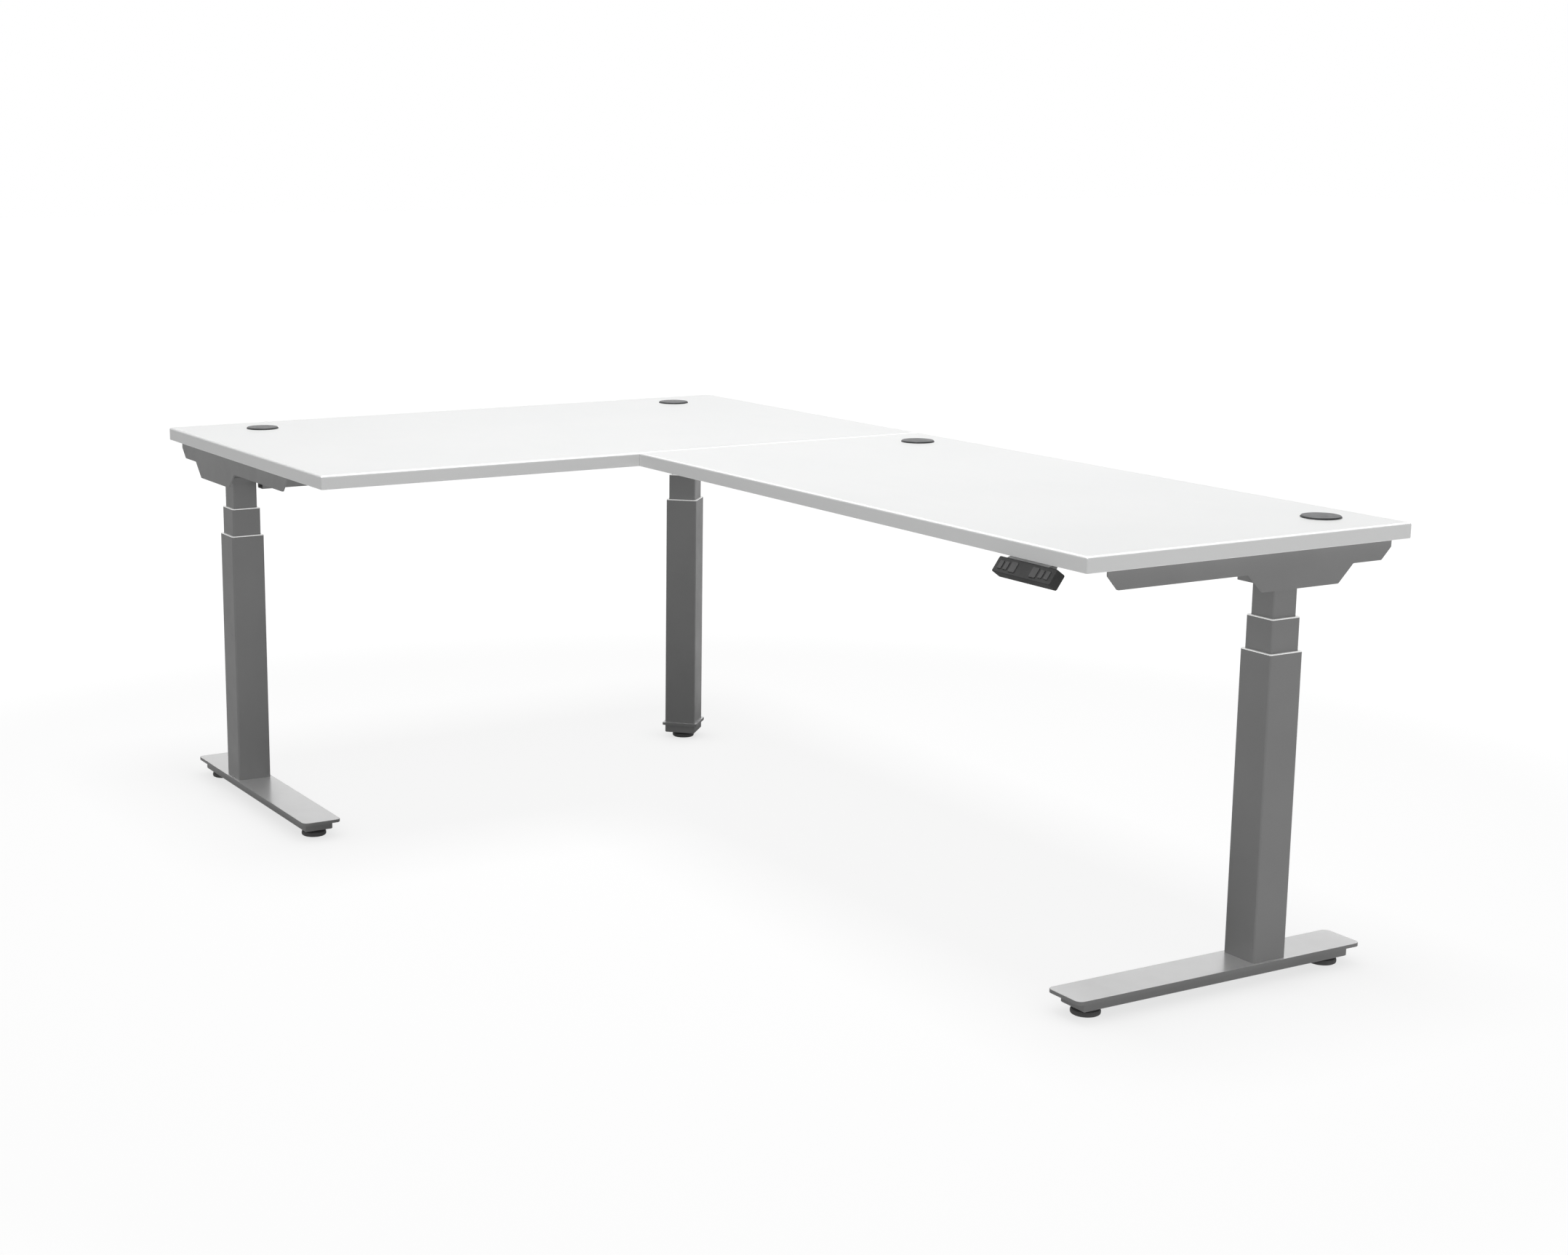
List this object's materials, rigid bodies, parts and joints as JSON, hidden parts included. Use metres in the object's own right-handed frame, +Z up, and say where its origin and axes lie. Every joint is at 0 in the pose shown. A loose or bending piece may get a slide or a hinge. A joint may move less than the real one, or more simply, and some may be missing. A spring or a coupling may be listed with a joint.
{
  "type": "height adjustable standing desk",
  "caption": "L-shaped standing desk: a return and a main panel on telescoping square columns with T-feet, lifted by motors and worked from a handset.",
  "frame": {"origin": "on the floor, under the middle of the bounding box", "axes": "+X along the main panel to its free end, +Y from the user to the back edge, +Z up"},
  "size_m": [1.9812, 1.2192, 0.6897],
  "materials": {
    "laminate": "white laminate, satin",
    "frame_paint": "grey powder coat, fine texture",
    "glide_plastic": "white moulded nylon",
    "key_rubber": "soft touch",
    "handset_plastic": "dark grey moulded",
    "grommet_plastic": "dark grey moulded",
    "foot_rubber": "moulded, fine grain",
    "zinc_steel": "zinc plated",
    "screw_steel": "rolled thread, oiled",
    "guide_steel": "drawn tube",
    "motor_metal": "black enamel",
    "box_plastic": "black moulded"
  },
  "bodies": {
    "base_right": {"outer_tube_right": "frame_paint", "outer_collar_right": "glide_plastic", "foot_right": "frame_paint", "base_screw_right": "screw_steel"},
    "mid_right": {"mid_tube_right": "frame_paint", "mid_collar_right": "glide_plastic", "mid_guide_right": "guide_steel"},
    "top_frame": {"desktop_return": "laminate", "desktop_main": "laminate", "joining_plates": "frame_paint", "frame_screws": "zinc_steel", "grommet_sleeves": "grommet_plastic", "side_bracket_right": "frame_paint", "side_bracket_left": "frame_paint", "corner_bracket": "frame_paint", "rail_return_user": "frame_paint", "rail_return_outer": "frame_paint", "rail_main_user": "frame_paint", "rail_main_back": "frame_paint", "head_right": "frame_paint", "head_left": "frame_paint", "head_corner": "frame_paint", "gear_motors": "motor_metal", "lift_screws": "screw_steel", "inner_tube_right": "frame_paint", "inner_tube_left": "frame_paint", "inner_tube_corner": "frame_paint", "control_box_base": "frame_paint", "control_box_cover": "box_plastic", "handset_body": "handset_plastic", "handset_bracket": "frame_paint"},
    "mid_left": {"mid_tube_left": "frame_paint", "mid_collar_left": "glide_plastic", "mid_guide_left": "guide_steel"},
    "base_left": {"outer_tube_left": "frame_paint", "outer_collar_left": "glide_plastic", "foot_left": "frame_paint", "base_screw_left": "screw_steel"},
    "mid_corner": {"mid_tube_corner": "frame_paint", "mid_collar_corner": "glide_plastic", "mid_guide_corner": "guide_steel"},
    "base_corner": {"outer_tube_corner": "frame_paint", "outer_collar_corner": "glide_plastic", "foot_corner": "frame_paint", "base_screw_corner": "screw_steel"},
    "leveller_right_back": {"leveller_right_back": "foot_rubber"},
    "leveller_right_user": {"leveller_right_user": "foot_rubber"},
    "leveller_left_outer": {"leveller_left_outer": "foot_rubber"},
    "leveller_left_user": {"leveller_left_user": "foot_rubber"},
    "leveller_corner": {"leveller_corner": "foot_rubber"},
    "button_preset_a": {"button_preset_a": "key_rubber"},
    "button_preset_b": {"button_preset_b": "key_rubber"},
    "button_down": {"button_down": "key_rubber"},
    "button_up": {"button_up": "key_rubber"},
    "button_preset_c": {"button_preset_c": "key_rubber"},
    "button_preset_d": {"button_preset_d": "key_rubber"},
    "grommet_cap_return_front": {"grommet_cap_return_front": "grommet_plastic"},
    "grommet_cap_return_back": {"grommet_cap_return_back": "grommet_plastic"},
    "grommet_cap_main_left": {"grommet_cap_main_left": "grommet_plastic"},
    "grommet_cap_main_right": {"grommet_cap_main_right": "grommet_plastic"}
  },
  "joints": [
    {"name": "lift_right_lower", "type": "slide", "parent": "base_right", "child": "mid_right", "axis": [0, 0, 1], "range_m": [-0.043, 0.282]},
    {"name": "lift_right_upper", "type": "slide", "parent": "mid_right", "child": "top_frame", "axis": [0, 0, 1], "range_m": [-0.043, 0.282]},
    {"name": "lift_left_upper", "type": "slide", "parent": "top_frame", "child": "mid_left", "axis": [0, 0, -1], "range_m": [-0.043, 0.282]},
    {"name": "lift_left_lower", "type": "slide", "parent": "mid_left", "child": "base_left", "axis": [0, 0, -1], "range_m": [-0.043, 0.282]},
    {"name": "lift_corner_upper", "type": "slide", "parent": "top_frame", "child": "mid_corner", "axis": [0, 0, -1], "range_m": [-0.043, 0.282]},
    {"name": "lift_corner_lower", "type": "slide", "parent": "mid_corner", "child": "base_corner", "axis": [0, 0, -1], "range_m": [-0.043, 0.282]},
    {"name": "leveller_right_back_screw", "type": "slide", "parent": "base_right", "child": "leveller_right_back", "axis": [0, 0, -1], "range_m": [-0.0015, 0.01]},
    {"name": "leveller_right_user_screw", "type": "slide", "parent": "base_right", "child": "leveller_right_user", "axis": [0, 0, -1], "range_m": [-0.0015, 0.01]},
    {"name": "leveller_left_outer_screw", "type": "slide", "parent": "base_left", "child": "leveller_left_outer", "axis": [0, 0, -1], "range_m": [-0.0015, 0.01]},
    {"name": "leveller_left_user_screw", "type": "slide", "parent": "base_left", "child": "leveller_left_user", "axis": [0, 0, -1], "range_m": [-0.0015, 0.01]},
    {"name": "leveller_corner_screw", "type": "slide", "parent": "base_corner", "child": "leveller_corner", "axis": [0, 0, -1], "range_m": [-0.0015, 0.01]},
    {"name": "button_preset_a_press", "type": "slide", "parent": "top_frame", "child": "button_preset_a", "axis": [0, 0.8111, -0.585], "range_m": [0, 0.0008], "stiffness_N_per_m": 400},
    {"name": "button_preset_b_press", "type": "slide", "parent": "top_frame", "child": "button_preset_b", "axis": [0, 0.8111, -0.585], "range_m": [0, 0.0008], "stiffness_N_per_m": 400},
    {"name": "button_down_press", "type": "slide", "parent": "top_frame", "child": "button_down", "axis": [0, 0.8111, -0.585], "range_m": [0, 0.0008], "stiffness_N_per_m": 400},
    {"name": "button_up_press", "type": "slide", "parent": "top_frame", "child": "button_up", "axis": [0, 0.8111, -0.585], "range_m": [0, 0.0008], "stiffness_N_per_m": 400},
    {"name": "button_preset_c_press", "type": "slide", "parent": "top_frame", "child": "button_preset_c", "axis": [0, 0.8111, -0.585], "range_m": [0, 0.0008], "stiffness_N_per_m": 400},
    {"name": "button_preset_d_press", "type": "slide", "parent": "top_frame", "child": "button_preset_d", "axis": [0, 0.8111, -0.585], "range_m": [0, 0.0008], "stiffness_N_per_m": 400},
    {"name": "grommet_cap_return_front_lift", "type": "slide", "parent": "top_frame", "child": "grommet_cap_return_front", "axis": [0, 0, 1], "range_m": [0, 0.03]},
    {"name": "grommet_cap_return_back_lift", "type": "slide", "parent": "top_frame", "child": "grommet_cap_return_back", "axis": [0, 0, 1], "range_m": [0, 0.03]},
    {"name": "grommet_cap_main_left_lift", "type": "slide", "parent": "top_frame", "child": "grommet_cap_main_left", "axis": [0, 0, 1], "range_m": [0, 0.03]},
    {"name": "grommet_cap_main_right_lift", "type": "slide", "parent": "top_frame", "child": "grommet_cap_main_right", "axis": [0, 0, 1], "range_m": [0, 0.03]}
  ],
  "couplings": [
    {"joint": "lift_right_upper", "follows": "lift_right_lower", "ratio": 1},
    {"joint": "lift_left_upper", "follows": "lift_right_lower", "ratio": 1},
    {"joint": "lift_left_lower", "follows": "lift_right_lower", "ratio": 1},
    {"joint": "lift_corner_upper", "follows": "lift_right_lower", "ratio": 1},
    {"joint": "lift_corner_lower", "follows": "lift_right_lower", "ratio": 1}
  ]
}
